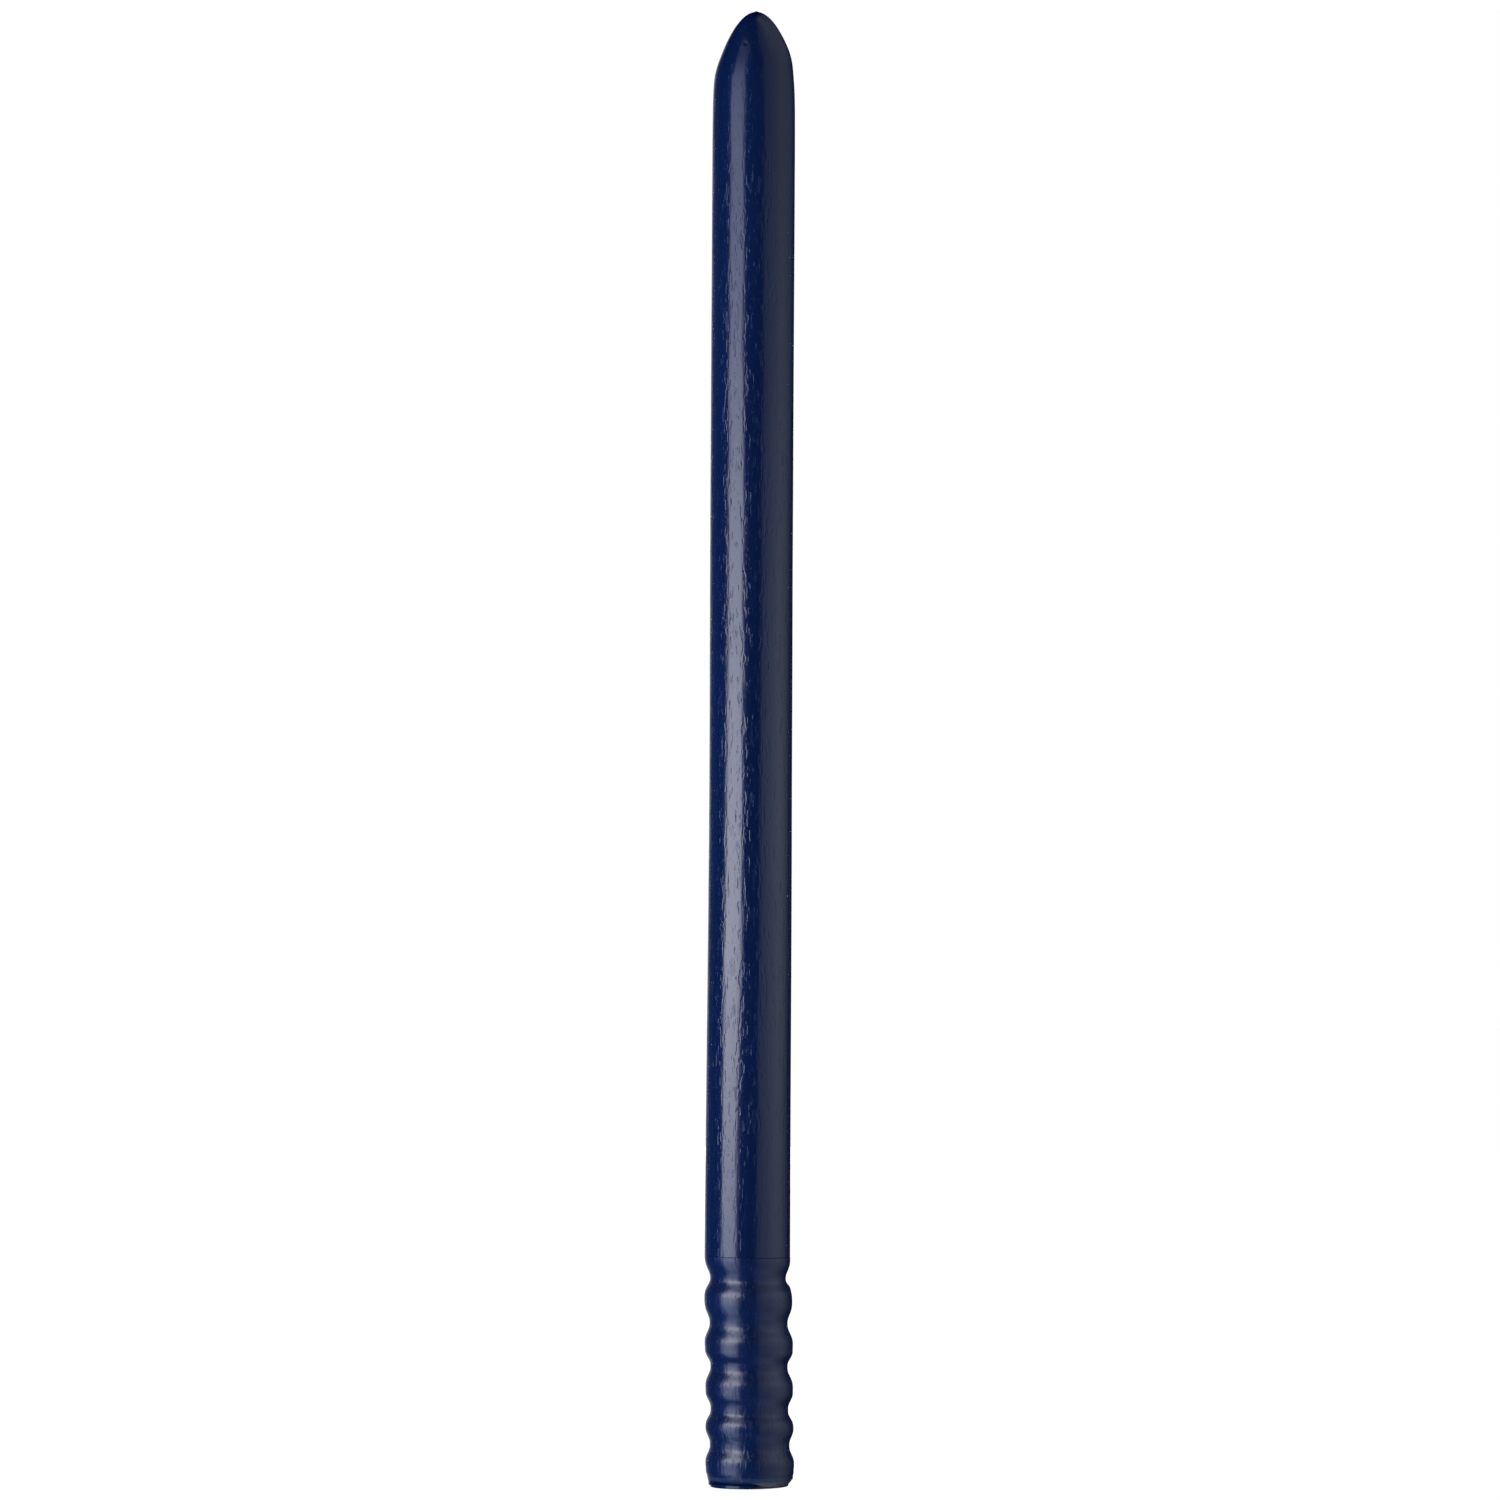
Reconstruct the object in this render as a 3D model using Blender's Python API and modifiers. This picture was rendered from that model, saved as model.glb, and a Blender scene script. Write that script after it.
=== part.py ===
"""A moulded plastic crayon: a solid stick of colour with a ribbed grip sleeve near its tail.

Metres, +Z up. The crayon stands on its butt with the tip on top. The origin is the centre of the butt's
flat face. The sleeve is moulded round a neck of the stick and can't leave it: the shaft's shoulder is
above it and the butt disc is below it.
"""

import math

import bpy

# Stick: nose and shaft
LENGTH = 0.1200
SHAFT_DIAMETER = 0.00668  # behind the nose
SHAFT_FLARE = 0.00013  # growth of the radius from the nose to the grip
FLARE_POWER = 3.5  # most of the growth is in the last third
TIP_RADIUS = 0.00114  # radius of curvature at the point
NOSE_FULLNESS = 11.0  # higher keeps the nose's shoulder closer to a corner

# Stick: butt disc
BUTT_HEIGHT = 0.00042
BUTT_STEP = 0.00025  # how far the disc stays inside the shaft's thick end
BUTT_EDGE_RADIUS = 0.00015

# Grip sleeve
GRIP_LENGTH = 0.0181
RIB_COUNT = 5
RIB_PROUD = 0.00008  # rib crests above the shaft's thick end
GROOVE_DEPTH_FRONT = 0.00040  # below the shaft's thick end, in the groove nearest the tip
GROOVE_DEPTH_REAR = 0.00026
SPACING_TAPER = 0.86  # spacing of the rings at the butt over that at the shoulder
CROWN_FULLNESS = 0.7  # above 0 makes the ribs broader than the grooves
RIM_LENGTH = 0.00110  # last crest to the sleeve's end
RIM_DROP = 0.00012  # fall of the radius from the last crest to the rim
SLEEVE_WALL = 0.00075  # under the deepest groove
SLEEVE_CLEARANCE = 0.00010  # between the sleeve and the stick, all round and at both ends

# Fineness of the turned surfaces
TURN_STEPS = 36
NOSE_POINTS = 14
SHAFT_POINTS = 8
WAVE_POINTS = 4
EDGE_POINTS = 5
MERGE_DISTANCE = 0.000005

# Colour of both pieces
NAVY = (0.006, 0.016, 0.075, 1.0)
STICK_ROUGHNESS = 0.34
GRIP_ROUGHNESS = 0.36

# Sizes that follow from the ones above
SLEEVE_BOTTOM = BUTT_HEIGHT + SLEEVE_CLEARANCE
SLEEVE_TOP = SLEEVE_BOTTOM + GRIP_LENGTH
SHOULDER_HEIGHT = SLEEVE_TOP + SLEEVE_CLEARANCE
TAIL_RADIUS = SHAFT_DIAMETER / 2 + SHAFT_FLARE
BUTT_RADIUS = TAIL_RADIUS - BUTT_STEP
CREST_RADIUS = TAIL_RADIUS + RIB_PROUD
BORE_RADIUS = TAIL_RADIUS - max(GROOVE_DEPTH_FRONT, GROOVE_DEPTH_REAR) - SLEEVE_WALL
NECK_RADIUS = BORE_RADIUS - SLEEVE_CLEARANCE


def shaft_radius(height):
    """Radius of the shaft, which widens towards the grip."""
    along = (LENGTH - height) / (LENGTH - SHOULDER_HEIGHT)
    return SHAFT_DIAMETER / 2 + SHAFT_FLARE * along**FLARE_POWER


def stick_radius(height):
    """Radius of the nose and shaft: a paraboloid at the tip that eases into the shaft."""
    bullet = math.sqrt(2 * TIP_RADIUS * (LENGTH - height))
    shaft = shaft_radius(height)
    if bullet == 0:
        return 0.0
    return (bullet**-NOSE_FULLNESS + shaft**-NOSE_FULLNESS) ** (-1 / NOSE_FULLNESS)


def stick_profile():
    """Outer side of the stick from the tip down to the centre of the butt, as (radius, height)."""
    # The bullet alone would reach the shaft's radius at this length, and the easing takes as much again.
    nose_length = (SHAFT_DIAMETER / 2) ** 2 / TIP_RADIUS
    nose = [LENGTH - nose_length * (k / NOSE_POINTS) ** 2 for k in range(NOSE_POINTS + 1)]
    shaft_top = nose[-1]
    step = (shaft_top - SHOULDER_HEIGHT) / SHAFT_POINTS
    shaft = [shaft_top - step * k for k in range(1, SHAFT_POINTS + 1)]
    profile = [(stick_radius(height), height) for height in nose + shaft]

    profile += [(NECK_RADIUS, SHOULDER_HEIGHT), (NECK_RADIUS, BUTT_HEIGHT), (BUTT_RADIUS, BUTT_HEIGHT)]

    edge_radius = min(BUTT_EDGE_RADIUS, 0.9 * BUTT_HEIGHT)
    for k in range(EDGE_POINTS + 1):
        turn = math.pi / 2 * k / EDGE_POINTS
        radius = BUTT_RADIUS - edge_radius * (1 - math.cos(turn))
        profile.append((radius, edge_radius * (1 - math.sin(turn))))
    profile.append((0.0, 0.0))
    return profile


def ring_levels():
    """Turning points of the ribbed surface from the sleeve's top edge down, as (radius, height)."""
    count = 2 * RIB_COUNT
    weights = [1 + (SPACING_TAPER - 1) * k / (count - 1) for k in range(count)]
    unit = (GRIP_LENGTH - RIM_LENGTH) / sum(weights)
    levels = [(TAIL_RADIUS, SLEEVE_TOP)]
    for k, weight in enumerate(weights):
        height = levels[-1][1] - unit * weight
        if k % 2:
            levels.append((CREST_RADIUS, height))
        else:
            share = k / max(count - 2, 1)
            depth = GROOVE_DEPTH_FRONT + (GROOVE_DEPTH_REAR - GROOVE_DEPTH_FRONT) * share
            levels.append((TAIL_RADIUS - depth, height))
    return levels


def sleeve_profile():
    """Closed section of the sleeve: ribs down the outside, then up the bore."""
    levels = ring_levels()
    profile = [levels[0]]
    for (radius_a, height_a), (radius_b, height_b) in zip(levels, levels[1:]):
        groove, crown = min(radius_a, radius_b), max(radius_a, radius_b)
        for k in range(1, WAVE_POINTS + 1):
            part = k / WAVE_POINTS
            rise = part if radius_b > radius_a else 1 - part
            swing = (1 - math.cos(math.pi * rise)) / 2
            swell = swing * (1 + CROWN_FULLNESS * (1 - swing))
            profile.append((groove + (crown - groove) * swell, height_a + (height_b - height_a) * part))

    for k in range(1, WAVE_POINTS + 1):
        part = k / WAVE_POINTS
        radius = CREST_RADIUS - RIM_DROP * (1 - math.cos(math.pi / 2 * part))
        profile.append((radius, SLEEVE_BOTTOM + RIM_LENGTH * (1 - part)))

    profile += [(BORE_RADIUS, SLEEVE_BOTTOM), (BORE_RADIUS, SLEEVE_TOP)]
    return profile


def coloured_plastic(name, roughness):
    """Navy pigmented plastic with a soft gloss."""
    material = bpy.data.materials.new(name)
    material.use_nodes = True
    shader = material.node_tree.nodes["Principled BSDF"]
    shader.inputs["Base Color"].default_value = NAVY
    shader.inputs["Roughness"].default_value = roughness
    shader.inputs["Metallic"].default_value = 0.0
    return material


def turned_piece(name, profile, is_ring, material, collection):
    """Object turned about Z from a profile. A ring's profile is closed, a solid's ends on the axis."""
    points = [(radius, 0.0, height) for radius, height in profile]
    edges = [(k, k + 1) for k in range(len(points) - 1)]
    if is_ring:
        edges.append((len(points) - 1, 0))
    mesh = bpy.data.meshes.new(name)
    mesh.from_pydata(points, edges, [])
    mesh.materials.append(material)
    piece = bpy.data.objects.new(name, mesh)
    collection.objects.link(piece)

    turn = piece.modifiers.new("Turn", "SCREW")
    turn.axis = "Z"
    turn.angle = 2 * math.pi
    turn.screw_offset = 0.0
    turn.steps = TURN_STEPS
    turn.render_steps = TURN_STEPS
    turn.use_merge_vertices = True
    turn.merge_threshold = MERGE_DISTANCE
    turn.use_smooth_shade = True
    return piece


def main():
    for old in list(bpy.data.objects):
        bpy.data.objects.remove(old, do_unlink=True)

    crayon = bpy.data.collections.new("crayon")
    bpy.context.scene.collection.children.link(crayon)

    stick_plastic = coloured_plastic("stick_plastic", STICK_ROUGHNESS)
    stick = turned_piece("crayon_stick", stick_profile(), False, stick_plastic, crayon)

    grip_plastic = coloured_plastic("grip_plastic", GRIP_ROUGHNESS)
    grip = turned_piece("grip_sleeve", sleeve_profile(), True, grip_plastic, crayon)
    grip.parent = stick


main()
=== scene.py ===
import math

import bmesh
import bpy
from mathutils import Matrix, Vector, noise

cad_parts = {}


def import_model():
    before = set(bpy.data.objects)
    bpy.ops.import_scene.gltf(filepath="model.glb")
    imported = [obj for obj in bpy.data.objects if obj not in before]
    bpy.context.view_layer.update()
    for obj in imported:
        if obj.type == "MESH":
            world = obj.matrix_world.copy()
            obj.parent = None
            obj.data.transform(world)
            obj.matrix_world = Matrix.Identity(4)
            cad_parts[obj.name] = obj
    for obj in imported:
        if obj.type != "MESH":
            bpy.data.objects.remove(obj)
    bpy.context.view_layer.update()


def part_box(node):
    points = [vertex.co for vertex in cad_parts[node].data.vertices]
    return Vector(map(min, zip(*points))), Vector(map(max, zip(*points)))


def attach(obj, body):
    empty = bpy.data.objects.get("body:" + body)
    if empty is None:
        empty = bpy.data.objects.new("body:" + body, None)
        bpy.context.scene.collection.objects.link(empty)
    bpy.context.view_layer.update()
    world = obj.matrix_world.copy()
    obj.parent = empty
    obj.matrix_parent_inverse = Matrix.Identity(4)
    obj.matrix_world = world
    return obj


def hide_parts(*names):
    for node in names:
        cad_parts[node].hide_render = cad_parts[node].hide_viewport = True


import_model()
scene = bpy.context.scene

# The stick of colour: one solid moulding of navy pigmented plastic, from the blunt nose to the butt disc.
# Fine drag marks run along the shaft, as a pull out of a long mould would leave them.
# A thinner neck, hidden by the grip, runs through the ribbed sleeve to the disc.
MM = 0.001
stick_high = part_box("crayon_stick")[1]
sleeve_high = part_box("grip_sleeve")[1]
tip_height = stick_high.z
tail_radius = 3.487 * MM
shaft_radius = 3.365 * MM
flare_start = 57.0 * MM
flare_power = 1.15
nose_curve_radius = 1.155 * MM
nose_fullness = 11.0
nub_height = 0.06 * MM
nub_width = 0.14 * MM
witness_height = 118.71 * MM
witness_proud = 0.010 * MM
witness_width = 0.035 * MM
neck_radius = 2.22 * MM
disc_radius = 3.205 * MM
disc_height = 0.41 * MM
disc_chamfer = 0.17 * MM
disc_taper = 0.02 * MM
disc_edge_radius = 0.08 * MM
seam_height = sleeve_high.z + 0.13 * MM
seam_bevel = 0.03 * MM

# How far the real stick strays from a straight line, to the right of the photographed side.
shaft_shift = -0.135 * MM
butt_shift = 0.18 * MM
tail_power = 0.7
bow_shift = 0.055 * MM
bow_height = 52.0 * MM
bow_reach = 18.0 * MM
nose_shift = 0.155 * MM
nose_bend_start = 114.3 * MM
nose_bend_end = 116.9 * MM
ring_lean = 0.0143
lean_fade = 12.0 * MM
lean_start = 1.5 * MM
disc_shift = -0.05 * MM
disc_lean = 0.0145

# Waves of the moulded surface, and the bearing, height, width and depth of each nick in the nose.
ripple_depth = 0.006 * MM
ripple_width = 1.3 * MM
ripple_length = 6.0 * MM
ripple_core = 0.5 * MM
nose_nicks = ((-20.0, 117.17, 0.11, 0.05), (-35.0, 117.20, 0.09, 0.025))

turn_steps = 224
nose_rows = 120
shaft_rows = 160
edge_rows = 6


def ease(value, start, end):
    """0 before start, 1 after end, smooth between."""
    share = min(max((value - start) / (end - start), 0.0), 1.0)
    return share * share * (3.0 - 2.0 * share)


def stick_radius(height):
    """Radius of the nose and shaft: a rounded bullet that eases into a shaft that widens to the grip."""
    along = max(flare_start - height, 0.0) / (flare_start - seam_height)
    shaft = shaft_radius + (tail_radius - shaft_radius) * along**flare_power
    bullet = math.sqrt(2.0 * nose_curve_radius * (apex_height - height))
    if bullet == 0.0:
        return 0.0
    return (bullet**-nose_fullness + shaft**-nose_fullness) ** (-1.0 / nose_fullness)


def turned(profile, is_ring):
    """Mesh of a profile of (radius, height) points spun once about Z, with outward faces."""
    shape = bmesh.new()
    points = [shape.verts.new((radius, 0.0, height)) for radius, height in profile]
    lines = [shape.edges.new(pair) for pair in zip(points, points[1:])]
    if is_ring:
        lines.append(shape.edges.new((points[-1], points[0])))
    bmesh.ops.spin(
        shape,
        geom=points + lines,
        cent=(0.0, 0.0, 0.0),
        axis=(0.0, 0.0, 1.0),
        angle=2.0 * math.pi,
        steps=turn_steps,
        use_merge=True,
    )
    bmesh.ops.remove_doubles(shape, verts=shape.verts, dist=0.0005 * MM)
    bmesh.ops.recalc_face_normals(shape, faces=shape.faces)
    for face in shape.faces:
        face.smooth = True
    return shape


def ripple(shape, lowest, depth):
    """Shallow lengthwise waves of the moulded surface, which make a reflection wander."""
    for vert in shape.verts:
        across = Vector((vert.co.x, vert.co.y, 0.0))
        if across.length < ripple_core or vert.co.z < lowest:
            continue
        place = Vector((vert.co.x / ripple_width, vert.co.y / ripple_width, vert.co.z / ripple_length))
        swell = noise.noise(place) + 0.5 * noise.noise(place * 2.3)
        vert.co += across.normalized() * depth * swell


def dent(shape, bearing, height, width, depth):
    """Small dent, or a bump if the depth is negative, at a bearing in degrees to the right of the front."""
    for vert in shape.verts:
        across = Vector((vert.co.x, vert.co.y, 0.0))
        turn = math.atan2(vert.co.x, -vert.co.y) - math.radians(bearing)
        away = math.hypot(turn * across.length, vert.co.z - height) / width
        if away < 3.0:
            vert.co -= across.normalized() * depth * math.exp(-(away**2))


def set_crooked(shape):
    """Bends a turned piece as the real one is bent: the tail and the nose lie off the shaft's line."""
    for vert in shape.verts:
        x, y, z = vert.co
        lean = ring_lean * (1.0 - ease(z, sleeve_high.z, sleeve_high.z + lean_fade))
        lean *= ease(z, 0.0, lean_start)
        tail = (max(seam_height - z, 0.0) / seam_height) ** tail_power
        nose = ease(z, nose_bend_start, nose_bend_end)
        bow = math.exp(-(((z - bow_height) / bow_reach) ** 2))
        disc = 1.0 - ease(z, 0.5 * disc_height, disc_height)
        vert.co.x = x + shaft_shift + (butt_shift - shaft_shift) * tail + bow_shift * bow
        vert.co.x += nose_shift * nose + disc_shift * disc
        vert.co.z = z - lean * x + disc_lean * x * disc


def to_piece(name, shape, material):
    """Object at the origin that holds the finished mesh."""
    mesh = bpy.data.meshes.new(name)
    shape.to_mesh(mesh)
    shape.free()
    mesh.materials.append(material)
    mesh.set_sharp_from_angle(angle=math.radians(35.0))
    piece = bpy.data.objects.new(name, mesh)
    scene.collection.objects.link(piece)
    return piece


apex_height = tip_height - nub_height
nose_length = shaft_radius**2 / nose_curve_radius
shaft_top = apex_height - nose_length
profile = []
for k in range(nose_rows + 1):
    height = apex_height - nose_length * (k / nose_rows) ** 2
    radius = stick_radius(height)
    ridge = witness_proud * math.exp(-(((height - witness_height) / witness_width) ** 2))
    profile.append((radius + ridge, height + nub_height * math.exp(-((radius / nub_width) ** 2))))
for k in range(1, shaft_rows + 1):
    height = shaft_top + (seam_height + seam_bevel - shaft_top) * k / shaft_rows
    profile.append((stick_radius(height), height))
profile.append((stick_radius(seam_height) - seam_bevel, seam_height))
profile.append((neck_radius, seam_height))
profile.append((neck_radius, disc_height))
profile.append((disc_radius - disc_chamfer, disc_height))
profile.append((disc_radius, disc_height - disc_chamfer))
for k in range(edge_rows + 1):
    turn = math.pi / 2 * k / edge_rows
    radius = disc_radius - disc_taper - disc_edge_radius * (1.0 - math.cos(turn))
    profile.append((radius, disc_edge_radius * (1.0 - math.sin(turn))))
profile.append((0.5 * disc_radius, 0.0))
profile.append((0.0, 0.0))

stick_shape = turned(profile, False)
ripple(stick_shape, seam_height, ripple_depth)
for bearing, height, width, depth in nose_nicks:
    dent(stick_shape, bearing, height * MM, width * MM, depth * MM)
set_crooked(stick_shape)

drag_marks = bpy.data.node_groups.new("drag_marks", "ShaderNodeTree")
for socket, kind in (
    ("Vector", "NodeSocketVector"),
    ("Scale", "NodeSocketFloat"),
    ("Stretch", "NodeSocketFloat"),
    ("Start", "NodeSocketFloat"),
    ("Full", "NodeSocketFloat"),
):
    drag_marks.interface.new_socket(socket, in_out="INPUT", socket_type=kind)
drag_marks.interface.new_socket("Mask", in_out="OUTPUT", socket_type="NodeSocketFloat")
nodes, links = drag_marks.nodes, drag_marks.links
group_in = nodes.new("NodeGroupInput")
group_out = nodes.new("NodeGroupOutput")
split = nodes.new("ShaderNodeSeparateXYZ")
links.new(group_in.outputs["Vector"], split.inputs[0])
shorten = nodes.new("ShaderNodeMath")
shorten.operation = "DIVIDE"
links.new(split.outputs["Z"], shorten.inputs[0])
links.new(group_in.outputs["Stretch"], shorten.inputs[1])
gather = nodes.new("ShaderNodeCombineXYZ")
links.new(split.outputs["X"], gather.inputs["X"])
links.new(split.outputs["Y"], gather.inputs["Y"])
links.new(shorten.outputs[0], gather.inputs["Z"])
grain = nodes.new("ShaderNodeTexNoise")
grain.inputs["Detail"].default_value = 1.5
grain.inputs["Roughness"].default_value = 0.5
links.new(gather.outputs[0], grain.inputs["Vector"])
links.new(group_in.outputs["Scale"], grain.inputs["Scale"])
pick = nodes.new("ShaderNodeMapRange")
pick.interpolation_type = "SMOOTHSTEP"
links.new(grain.outputs["Fac"], pick.inputs["Value"])
links.new(group_in.outputs["Start"], pick.inputs["From Min"])
links.new(group_in.outputs["Full"], pick.inputs["From Max"])
links.new(pick.outputs["Result"], group_out.inputs["Mask"])


def coloured_plastic(name, roughness, scuff_start, scuff_end, scuff_fade):
    """Navy plastic: slightly uneven pigment, and streaks, dashes and pits left by the mould.
    Longer scuffs lie between two heights.
    """
    navy = (0.0012, 0.0066, 0.037, 1.0)
    paler_navy = (0.0015, 0.0076, 0.042, 1.0)
    dash_depth = 0.006 * MM
    pit_depth = 0.003 * MM
    streak_rise = 0.005 * MM
    scuff_depth = 0.011 * MM
    material = bpy.data.materials.new(name)
    material.use_nodes = True
    nodes, links = material.node_tree.nodes, material.node_tree.links
    shader = nodes["Principled BSDF"]
    shader.inputs["IOR"].default_value = 1.5
    place = nodes.new("ShaderNodeTexCoord")

    def marks(scale, stretch, start, full):
        node = nodes.new("ShaderNodeGroup")
        node.node_tree = drag_marks
        node.inputs["Scale"].default_value = scale
        node.inputs["Stretch"].default_value = stretch
        node.inputs["Start"].default_value = start
        node.inputs["Full"].default_value = full
        links.new(place.outputs["Object"], node.inputs["Vector"])
        return node.outputs["Mask"]

    def spread(value, low, high):
        node = nodes.new("ShaderNodeMapRange")
        node.inputs["To Min"].default_value = low
        node.inputs["To Max"].default_value = high
        links.new(value, node.inputs["Value"])
        return node.outputs["Result"]

    def add(first, second):
        node = nodes.new("ShaderNodeMath")
        node.operation = "ADD"
        links.new(first, node.inputs[0])
        links.new(second, node.inputs[1])
        return node.outputs[0]

    tint = nodes.new("ShaderNodeMix")
    tint.data_type = "RGBA"
    tint.inputs["A"].default_value = navy
    tint.inputs["B"].default_value = paler_navy
    links.new(marks(500.0, 12.0, 0.3, 0.7), tint.inputs["Factor"])
    links.new(tint.outputs["Result"], shader.inputs["Base Color"])

    height = nodes.new("ShaderNodeSeparateXYZ")
    links.new(place.outputs["Object"], height.inputs[0])
    scuffs = marks(3400.0, 4.5, 0.56, 0.68)
    for limit, inside in ((scuff_start, scuff_start + scuff_fade), (scuff_end, scuff_end - scuff_fade)):
        zone = nodes.new("ShaderNodeMapRange")
        zone.inputs["From Min"].default_value = limit
        zone.inputs["From Max"].default_value = inside
        links.new(height.outputs["Z"], zone.inputs["Value"])
        links.new(scuffs, zone.inputs["To Max"])
        scuffs = zone.outputs["Result"]

    streaks = marks(2600.0, 7.0, 0.3, 0.7)
    dashes = marks(4600.0, 5.0, 0.60, 0.72)
    pits = marks(5200.0, 2.0, 0.66, 0.76)
    rough = add(spread(streaks, roughness - 0.01, roughness + 0.02), spread(dashes, 0.0, 0.12))
    rough = add(rough, add(spread(pits, 0.0, 0.15), spread(scuffs, 0.0, 0.12)))
    links.new(rough, shader.inputs["Roughness"])

    relief = add(spread(dashes, 0.0, -dash_depth), spread(pits, 0.0, -pit_depth))
    relief = add(relief, add(spread(streaks, 0.0, streak_rise), spread(scuffs, 0.0, -scuff_depth)))
    bump = nodes.new("ShaderNodeBump")
    bump.inputs["Distance"].default_value = 1.0
    links.new(relief, bump.inputs["Height"])
    links.new(bump.outputs["Normal"], shader.inputs["Normal"])
    return material


stick_plastic = coloured_plastic("stick_plastic", 0.18, 18.0 * MM, 114.0 * MM, 10.0 * MM)
stick = to_piece("crayon_stick_moulding", stick_shape, stick_plastic)
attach(stick, "root")
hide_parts("crayon_stick")

# The grip sleeve: the same plastic moulded as five uneven ribs round the neck, up to a hairline seam.
# Its lower rim looks trimmed and torn and overhangs the butt disc; its narrow paler edge is a painted
# highlight, and grey on the right of the lip below it is a painted reflection.
# The shoulder above and the disc below keep it in place.

# Radius and height of each crown, and of each groove with the half length of its flat bottom and the
# fullness of the flanks above and below it.
crowns = ((3.578, 15.10), (3.573, 11.02), (3.555, 7.62), (3.583, 4.74), (3.576, 1.26))
grooves = (
    (3.078, 16.93, 0.05, 0.75, 0.95),
    (3.172, 13.28, 0.10, 0.6, 1.6),
    (3.139, 9.78, 0.15, 0.05, 1.35),
    (3.160, 6.28, 0.20, 0.0, 0.75),
    (3.237, 3.38, 0.12, 0.1, 1.9),
)
wave_rows = 14
rim_radius = 3.53 * MM
rim_height = 1.02 * MM
rim_power = 2.2
lip_radius = 3.45 * MM
lip_height = 0.72 * MM
lip_sway = 0.048 * MM
undercut_radius = 3.21 * MM
undercut_height = 0.42 * MM
undercut_rows = 4
bore_radius = 2.32 * MM

# The torn lip, in millimetres and degrees of bearing: a flap in front, a droop to each side, frayed
# edges, and two runs of plastic, each with the bearings where it starts, is full, ends and is gone.
flap_bearing = -10.0
flap_width = 14.0
flap_drop = 0.10
side_drop = 0.16
side_bias = 0.08
fray_depth = 0.03
fray_size = 0.6 * MM
run_drop = 0.24
run_flare = 0.4
right_run = (5.0, 25.0, 70.0, 88.0)
left_run = (60.0, 75.0, 110.0, 135.0)
# Bearing, height, width and depth of the pit in the rim and of the bump on the first rib.
sleeve_dents = ((21.5, 0.36, 0.09, 0.06), (90.0, 16.28, 0.28, -0.11))


def wave(start, end, fullness):
    """Points of a rib's flank between two turning points of (radius, height), without the first."""
    low, high = min(start[0], end[0]), max(start[0], end[0])
    points = []
    for row in range(1, wave_rows + 1):
        share = row / wave_rows
        rise = share if end[0] > start[0] else 1.0 - share
        swing = (1.0 - math.cos(math.pi * rise)) / 2.0
        swell = swing * (1.0 + fullness * (1.0 - swing))
        points.append((low + (high - low) * swell, start[1] + (end[1] - start[1]) * share))
    return points


profile = [(tail_radius - seam_bevel, seam_height), (tail_radius, seam_height - seam_bevel)]
for groove, (crown_radius, crown_height) in zip(grooves, crowns):
    groove_radius, groove_height, flat, fullness_above, fullness_below = groove
    upper_end = (groove_radius * MM, (groove_height + 0.6 * flat) * MM)
    lower_end = (groove_radius * MM, (groove_height - flat) * MM)
    profile += wave(profile[-1], upper_end, fullness_above)
    profile.append(lower_end)
    profile += wave(lower_end, (crown_radius * MM, crown_height * MM), fullness_below)

last_radius, last_height = profile[-1]
for row in range(1, wave_rows + 1):
    share = row / wave_rows
    radius = last_radius - (last_radius - rim_radius) * share**rim_power
    profile.append((radius, last_height + (rim_height - last_height) * share))
for row in range(undercut_rows + 1):
    share = row / undercut_rows
    radius = lip_radius + (undercut_radius - lip_radius) * share
    profile.append((radius, lip_height + (undercut_height - lip_height) * share))
profile.append((bore_radius, undercut_height))
profile.append((bore_radius, seam_height))


def plateau(value, limits):
    """1 between the two inner limits, 0 outside the outer ones."""
    start, full, ending, gone = limits
    return ease(value, start, full) * (1.0 - ease(value, ending, gone))


sleeve_shape = turned(profile, True)
for vert in sleeve_shape.verts:
    across = Vector((vert.co.x, vert.co.y, 0.0))
    if vert.co.z > lip_height + 0.01 * MM or across.length < undercut_radius - 0.01 * MM:
        continue
    share = (lip_height - vert.co.z) / (lip_height - undercut_height)
    sideways = vert.co.x / across.length
    bearing = math.degrees(math.atan2(vert.co.x, -vert.co.y))
    tear = flap_drop * math.exp(-(((bearing - flap_bearing) / flap_width) ** 2))
    tear += (side_drop - side_bias * sideways) * sideways**2
    tear += fray_depth * noise.noise(across / fray_size)
    run = run_drop * (plateau(bearing, right_run) + plateau(-bearing, left_run))
    vert.co += across.normalized() * (lip_sway * sideways * (1.0 - share) + run_flare * run * share * MM)
    vert.co.z -= (tear * (1.0 - share) + run * share) * MM
for bearing, height, width, depth in sleeve_dents:
    dent(sleeve_shape, bearing, height * MM, width * MM, depth * MM)
set_crooked(sleeve_shape)

grip_plastic = coloured_plastic("grip_plastic", 0.262, -6.0 * MM, 10.0 * MM, 6.0 * MM)
nodes, links = grip_plastic.node_tree.nodes, grip_plastic.node_tree.links
paint = nodes["Mix"].outputs["Result"]
place = nodes["Separate XYZ"]
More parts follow.
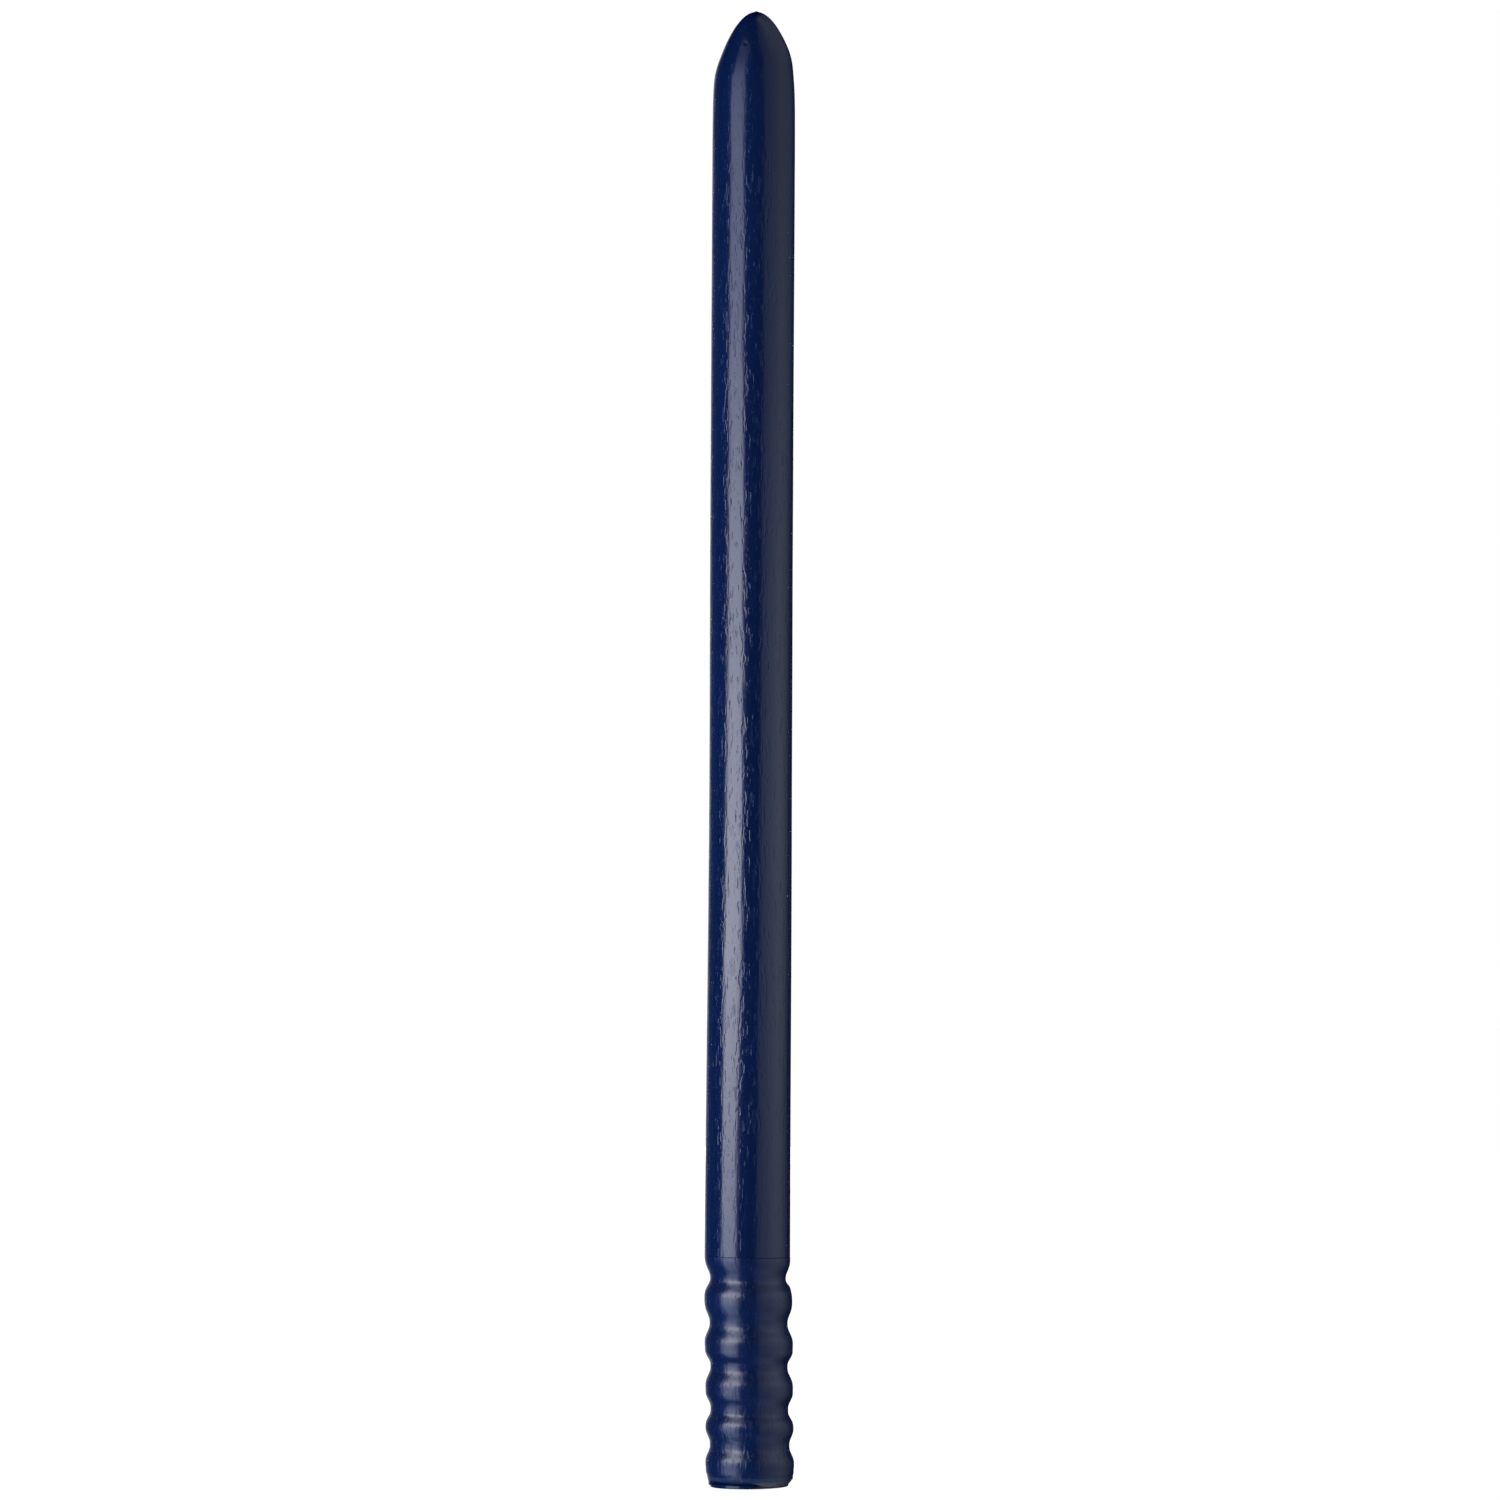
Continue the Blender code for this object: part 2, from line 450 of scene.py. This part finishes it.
# Painted light on the lip: a paler band on the trimmed edge as a painted highlight, and grey on the right
# of the torn face as a painted reflection of the grey sheen; each has a colour, and along each axis where
# it is absent and where it is full.
rim_painted_light = (
    # painted highlight: the paler trimmed edge
    ((0.008, 0.019, 0.058), (("Z", 0.92, 0.82), ("Z", 0.50, 0.58))),
    # painted reflection: grey on the right of the torn face below the edge
    ((0.036, 0.041, 0.056), (("Z", 0.58, 0.50), ("X", 0.2, 0.8))),
)
for colour, limits in rim_painted_light:
    painted_light_patch = nodes.new("ShaderNodeMix")
    painted_light_patch.data_type = "RGBA"
    share = None
    for axis, outside, inside in limits:
        edge = nodes.new("ShaderNodeMapRange")
        edge.inputs["From Min"].default_value = outside * MM
        edge.inputs["From Max"].default_value = inside * MM
        links.new(place.outputs[axis], edge.inputs["Value"])
        if share is not None:
            links.new(share, edge.inputs["To Max"])
        share = edge.outputs["Result"]
    links.new(share, painted_light_patch.inputs["Factor"])
    links.new(paint, painted_light_patch.inputs["A"])
    painted_light_patch.inputs["B"].default_value = (*colour, 1.0)
    paint = painted_light_patch.outputs["Result"]
# the base colour now carries the painted highlight and the painted reflection
links.new(paint, nodes["Principled BSDF"].inputs["Base Color"])
sleeve = to_piece("grip_sleeve_ribs", sleeve_shape, grip_plastic)
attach(sleeve, "root")
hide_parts("grip_sleeve")

# The table: a plain pale floor that stays near white, so that the crayon stands against white.
# It is left out of the plastic's reflections, which show only the light panels.
floor_reach = 1.2
floor_shape = bmesh.new()
bmesh.ops.create_grid(floor_shape, x_segments=1, y_segments=1, size=floor_reach)
bmesh.ops.translate(floor_shape, verts=floor_shape.verts, vec=(0.0, 0.0, -disc_lean * disc_radius))
floor_mesh = bpy.data.meshes.new("floor")
floor_shape.to_mesh(floor_mesh)
floor_shape.free()
floor_paint = bpy.data.materials.new("floor_paint")
floor_paint.use_nodes = True
floor_shader = floor_paint.node_tree.nodes["Principled BSDF"]
floor_shader.inputs["Base Color"].default_value = (0.01, 0.01, 0.01, 1.0)
floor_shader.inputs["Roughness"].default_value = 0.9
floor_shader.inputs["Emission Color"].default_value = (1.0, 1.0, 1.0, 1.0)
floor_shader.inputs["Emission Strength"].default_value = 1.0
floor_paint.cycles.emission_sampling = "NONE"
floor_mesh.materials.append(floor_paint)
floor = bpy.data.objects.new("floor", floor_mesh)
scene.collection.objects.link(floor)
floor.visible_glossy = False
floor.visible_diffuse = False
floor.visible_shadow = False

# The studio light: curved panels that stand close round the crayon and that the camera doesn't see.
# A bright one on the left gives the long highlight, and a broad dim one on the right the grey sheen.
# Bearings are degrees to the right of the camera, and a panel ends in a dome over the crayon.
panel_foot = -0.25
panel_shoulder = 0.12
panel_steps = 24


def light_panel(name, bearing_start, bearing_end, reach):
    """Upright panel bent round the crayon, closed by a dome. Returns its node tree, still empty."""
    shape = bmesh.new()
    turn = math.radians(bearing_start)
    outward = Vector((math.sin(turn), -math.cos(turn), 0.0))
    foot = shape.verts.new(outward * reach + Vector((0.0, 0.0, panel_foot)))
    shoulder = shape.verts.new(outward * reach + Vector((0.0, 0.0, panel_shoulder)))
    shape.edges.new((foot, shoulder))
    bmesh.ops.spin(
        shape,
        geom=[shoulder],
        cent=(0.0, 0.0, panel_shoulder),
        axis=outward.cross(Vector((0.0, 0.0, 1.0))),
        angle=math.pi / 2,
        steps=panel_steps,
    )
    bmesh.ops.spin(
        shape,
        geom=shape.verts[:] + shape.edges[:],
        cent=(0.0, 0.0, 0.0),
        axis=(0.0, 0.0, 1.0),
        angle=math.radians(bearing_end - bearing_start),
        steps=panel_steps,
    )
    bmesh.ops.remove_doubles(shape, verts=shape.verts, dist=0.01 * MM)
    mesh = bpy.data.meshes.new(name)
    shape.to_mesh(mesh)
    shape.free()
    material = bpy.data.materials.new(name)
    material.use_nodes = True
    material.node_tree.nodes.clear()
    material.cycles.emission_sampling = "NONE"
    mesh.materials.append(material)
    panel = bpy.data.objects.new(name, mesh)
    scene.collection.objects.link(panel)
    panel.visible_camera = False
    panel.visible_diffuse = False
    panel.visible_shadow = False
    return material.node_tree


def math_node(tree, operation, first, second=None):
    """Math node whose inputs are sockets or plain numbers. Returns its output."""
    node = tree.nodes.new("ShaderNodeMath")
    node.operation = operation
    for slot, value in enumerate((first, second)):
        if isinstance(value, (int, float)):
            node.inputs[slot].default_value = value
        elif value is not None:
            tree.links.new(value, node.inputs[slot])
    return node.outputs[0]


def fade(tree, value, zero_at, one_at, low=0.0, high=1.0, smooth=True):
    """Goes from low to high as the value goes from zero_at to one_at, either of which may be a socket."""
    node = tree.nodes.new("ShaderNodeMapRange")
    node.interpolation_type = "SMOOTHSTEP" if smooth else "LINEAR"
    for slot, limit in (("From Min", zero_at), ("From Max", one_at)):
        if isinstance(limit, (int, float)):
            node.inputs[slot].default_value = limit
        else:
            tree.links.new(limit, node.inputs[slot])
    node.inputs["To Min"].default_value = low
    node.inputs["To Max"].default_value = high
    tree.links.new(value, node.inputs["Value"])
    return node.outputs["Result"]


def bell(tree, value, centre, spread_below, spread_above):
    """Bell curve of height 1 with its own spread on each side."""
    away = math_node(tree, "SUBTRACT", value, centre)
    below = math_node(tree, "DIVIDE", math_node(tree, "MINIMUM", away, 0.0), spread_below)
    above = math_node(tree, "DIVIDE", math_node(tree, "MAXIMUM", away, 0.0), spread_above)
    below_square = math_node(tree, "POWER", below, 2.0)
    above_square = math_node(tree, "POWER", above, 2.0)
    square = math_node(tree, "ADD", below_square, above_square)
    return math_node(tree, "EXPONENT", math_node(tree, "MULTIPLY", square, -0.5))


def after(tree, value, limit, softness):
    """Mask that is 1 where the value is past the limit."""
    start = math_node(tree, "SUBTRACT", limit, softness)
    return fade(tree, value, start, math_node(tree, "ADD", limit, softness))


def before(tree, value, limit, softness):
    """Mask that is 1 where the value is short of the limit."""
    start = math_node(tree, "ADD", limit, softness)
    return fade(tree, value, start, math_node(tree, "SUBTRACT", limit, softness))


def panel_place(tree):
    """Height in millimetres and bearing in degrees of a point of a panel."""
    place = tree.nodes.new("ShaderNodeTexCoord")
    split = tree.nodes.new("ShaderNodeSeparateXYZ")
    tree.links.new(place.outputs["Object"], split.inputs[0])
    height = math_node(tree, "DIVIDE", split.outputs["Z"], MM)
    depth = math_node(tree, "MULTIPLY", split.outputs["Y"], -1.0)
    bearing = math_node(tree, "ARCTAN2", split.outputs["X"], depth)
    return height, math_node(tree, "MULTIPLY", bearing, 180.0 / math.pi)


def glow(tree, layers, mask):
    """Emission that adds up layers of (strength socket, colour) and is limited by a mask."""
    total = None
    for strength, colour in layers:
        tinted = tree.nodes.new("ShaderNodeVectorMath")
        tinted.operation = "SCALE"
        tinted.inputs[0].default_value = colour
        tree.links.new(strength, tinted.inputs["Scale"])
        if total is None:
            total = tinted.outputs[0]
            continue
        joined = tree.nodes.new("ShaderNodeVectorMath")
        joined.operation = "ADD"
        tree.links.new(total, joined.inputs[0])
        tree.links.new(tinted.outputs[0], joined.inputs[1])
        total = joined.outputs[0]
    emission = tree.nodes.new("ShaderNodeEmission")
    tree.links.new(total, emission.inputs["Color"])
    tree.links.new(mask, emission.inputs["Strength"])
    output = tree.nodes.new("ShaderNodeOutputMaterial")
    tree.links.new(emission.outputs[0], output.inputs["Surface"])


near = 0.105
far = 0.60
warm_white = (1.0, 0.965, 0.945)
cool_white = (0.85, 1.0, 1.35)
fill_blue = (0.95, 1.08, 1.42)
hot_strength = 6.05
tree = light_panel("key_panel", -85.0, -15.0, near)
height, bearing = panel_place(tree)
hot = math_node(tree, "MULTIPLY", bell(tree, height, 44.0, 23.5, 38.5), hot_strength)
cool = math_node(
    tree, "MULTIPLY", fade(tree, height, 187.0, 137.0, 0.55, 1.42), fade(tree, height, 201.0, 190.0)
)
cool = math_node(tree, "MULTIPLY", cool, fade(tree, height, 20.0, -5.0, 1.0, 1.45))
cool = math_node(tree, "MULTIPLY", cool, fade(tree, height, -130.0, -70.0))
advance = math_node(
    tree, "SUBTRACT", fade(tree, height, 25.0, 42.0, 0.0, 9.0), fade(tree, height, 82.0, 98.0, 0.0, 3.0)
)
right_edge = math_node(tree, "ADD", advance, -32.3)
left_edge = math_node(tree, "ADD", fade(tree, height, 50.0, 60.0, 0.0, 6.5), -72.5)
mask = math_node(
    tree, "MULTIPLY", after(tree, bearing, left_edge, 1.5), before(tree, bearing, right_edge, 3.5)
)
glow(tree, ((hot, warm_white), (cool, cool_white)), mask)

tree = light_panel("fill_panel", 5.0, 180.0, near)
height, bearing = panel_place(tree)
level_below = fade(tree, height, -20.0, 50.0, 0.56, 1.0, False)
level_above = fade(tree, height, 52.0, 130.0, 1.0, 0.48)
lengthwise = math_node(tree, "MULTIPLY", level_below, level_above)
far_edge = math_node(
    tree, "ADD", fade(tree, height, 60.0, 125.0, 138.0, 155.0), fade(tree, height, 130.0, 170.0, 0.0, 24.0)
)
rear = math_node(tree, "MULTIPLY", fade(tree, bearing, 162.0, 154.0), 0.022)
rear = math_node(tree, "ADD", rear, fade(tree, bearing, far_edge, 77.0))
across = math_node(tree, "MULTIPLY", fade(tree, bearing, 25.0, 74.0, 0.40, 1.05, False), rear)
bulge = math_node(tree, "MULTIPLY", bell(tree, height, 100.0, 40.0, 40.0), 5.5)
edge = math_node(tree, "SUBTRACT", bulge, fade(tree, height, 168.0, 213.0, -23.5, -11.5))
mask = after(tree, bearing, edge, 1.5)
glow(tree, ((math_node(tree, "MULTIPLY", lengthwise, across), fill_blue),), mask)

tree = light_panel("left_panel", -150.0, -112.0, far)
height, bearing = panel_place(tree)
sheen = fade(tree, bearing, -108.0, -130.0, 0.0, 0.05)
glow(tree, ((sheen, (0.95, 1.0, 1.0)),), fade(tree, height, 350.0, 200.0))

tree = light_panel("back_panel", 182.0, 210.0, far)
height, bearing = panel_place(tree)
glimmer = fade(tree, height, -600.0, -300.0, 0.0, 0.5)
glow(tree, ((glimmer, (0.97, 1.0, 1.03)),), fade(tree, height, 350.0, 200.0))

# The wash: a broad lamp from the left and an even sky that bring out the plastic's own colour.
# The plastic doesn't mirror them.
wash_bearing = math.radians(-50.0)
wash_data = bpy.data.lights.new("wash", "SUN")
wash_data.energy = 4.8
wash_data.angle = math.radians(40.0)
wash = bpy.data.objects.new("wash", wash_data)
scene.collection.objects.link(wash)
wash_from = Vector((math.sin(wash_bearing), -math.cos(wash_bearing), -0.35))
wash.matrix_world = wash_from.to_track_quat("Z", "Y").to_matrix().to_4x4()
wash.visible_glossy = False

ambient = 0.38
world = bpy.data.worlds.new("studio")
scene.world = world
world.use_nodes = True
world.cycles_visibility.glossy = False
nodes, links = world.node_tree.nodes, world.node_tree.links
backdrop = nodes["Background"]
path = nodes.new("ShaderNodeLightPath")
level = nodes.new("ShaderNodeMapRange")
level.inputs["To Min"].default_value = ambient
level.inputs["To Max"].default_value = 1.0
links.new(path.outputs["Is Camera Ray"], level.inputs["Value"])
links.new(level.outputs["Result"], backdrop.inputs["Strength"])
backdrop.inputs["Color"].default_value = (1.0, 1.0, 1.0, 1.0)

# The rear lamps: two soft washes and a tall strip behind the crayon, for the sides that the picture hides.
# From the front they only touch the outermost edge.
rear_washes = ((140.0, 3.2), (-150.0, 2.4))
strip_place = (0.0, 0.60, 0.06)
for bearing, energy in rear_washes:
    rear_data = bpy.data.lights.new("rear_wash", "SUN")
    rear_data.energy = energy
    rear_data.angle = math.radians(20.0)
    rear = bpy.data.objects.new("rear_wash", rear_data)
    scene.collection.objects.link(rear)
    turn = math.radians(bearing)
    rear_from = Vector((math.sin(turn), -math.cos(turn), 0.0))
    rear.matrix_world = rear_from.to_track_quat("Z", "Y").to_matrix().to_4x4()
    rear.visible_glossy = False
strip_data = bpy.data.lights.new("rear_strip", "AREA")
strip_data.shape = "RECTANGLE"
strip_data.size = 0.06
strip_data.size_y = 0.30
strip_data.energy = 0.45
strip = bpy.data.objects.new("rear_strip", strip_data)
scene.collection.objects.link(strip)
strip_turn = Vector((0.0, 1.0, 0.0)).to_track_quat("Z", "Y").to_matrix().to_4x4()
strip.matrix_world = Matrix.Translation(strip_place) @ strip_turn
strip.visible_camera = False

# The camera: a long lens at half the crayon's height that looks straight at it, as the picture was taken.
# Its distance is an estimate, and could be anything from 0.43 to 0.73 m.
side_step = -0.155 * MM
camera_distance = 0.700
camera_height = 0.05989
eye = Vector((side_step, -camera_distance, camera_height))
target = Vector((side_step, 0.0, camera_height))
camera_roll = 0.33
camera_data = bpy.data.cameras.new("camera")
camera_data.sensor_width = 36.0
camera_data.lens = 206.5
camera = bpy.data.objects.new("camera", camera_data)
scene.collection.objects.link(camera)
facing = (target - eye).to_track_quat("-Z", "Y").to_matrix().to_4x4()
camera.matrix_world = Matrix.Translation(eye) @ facing @ Matrix.Rotation(math.radians(camera_roll), 4, "Z")
scene.camera = camera
scene.view_settings.view_transform = "Standard"
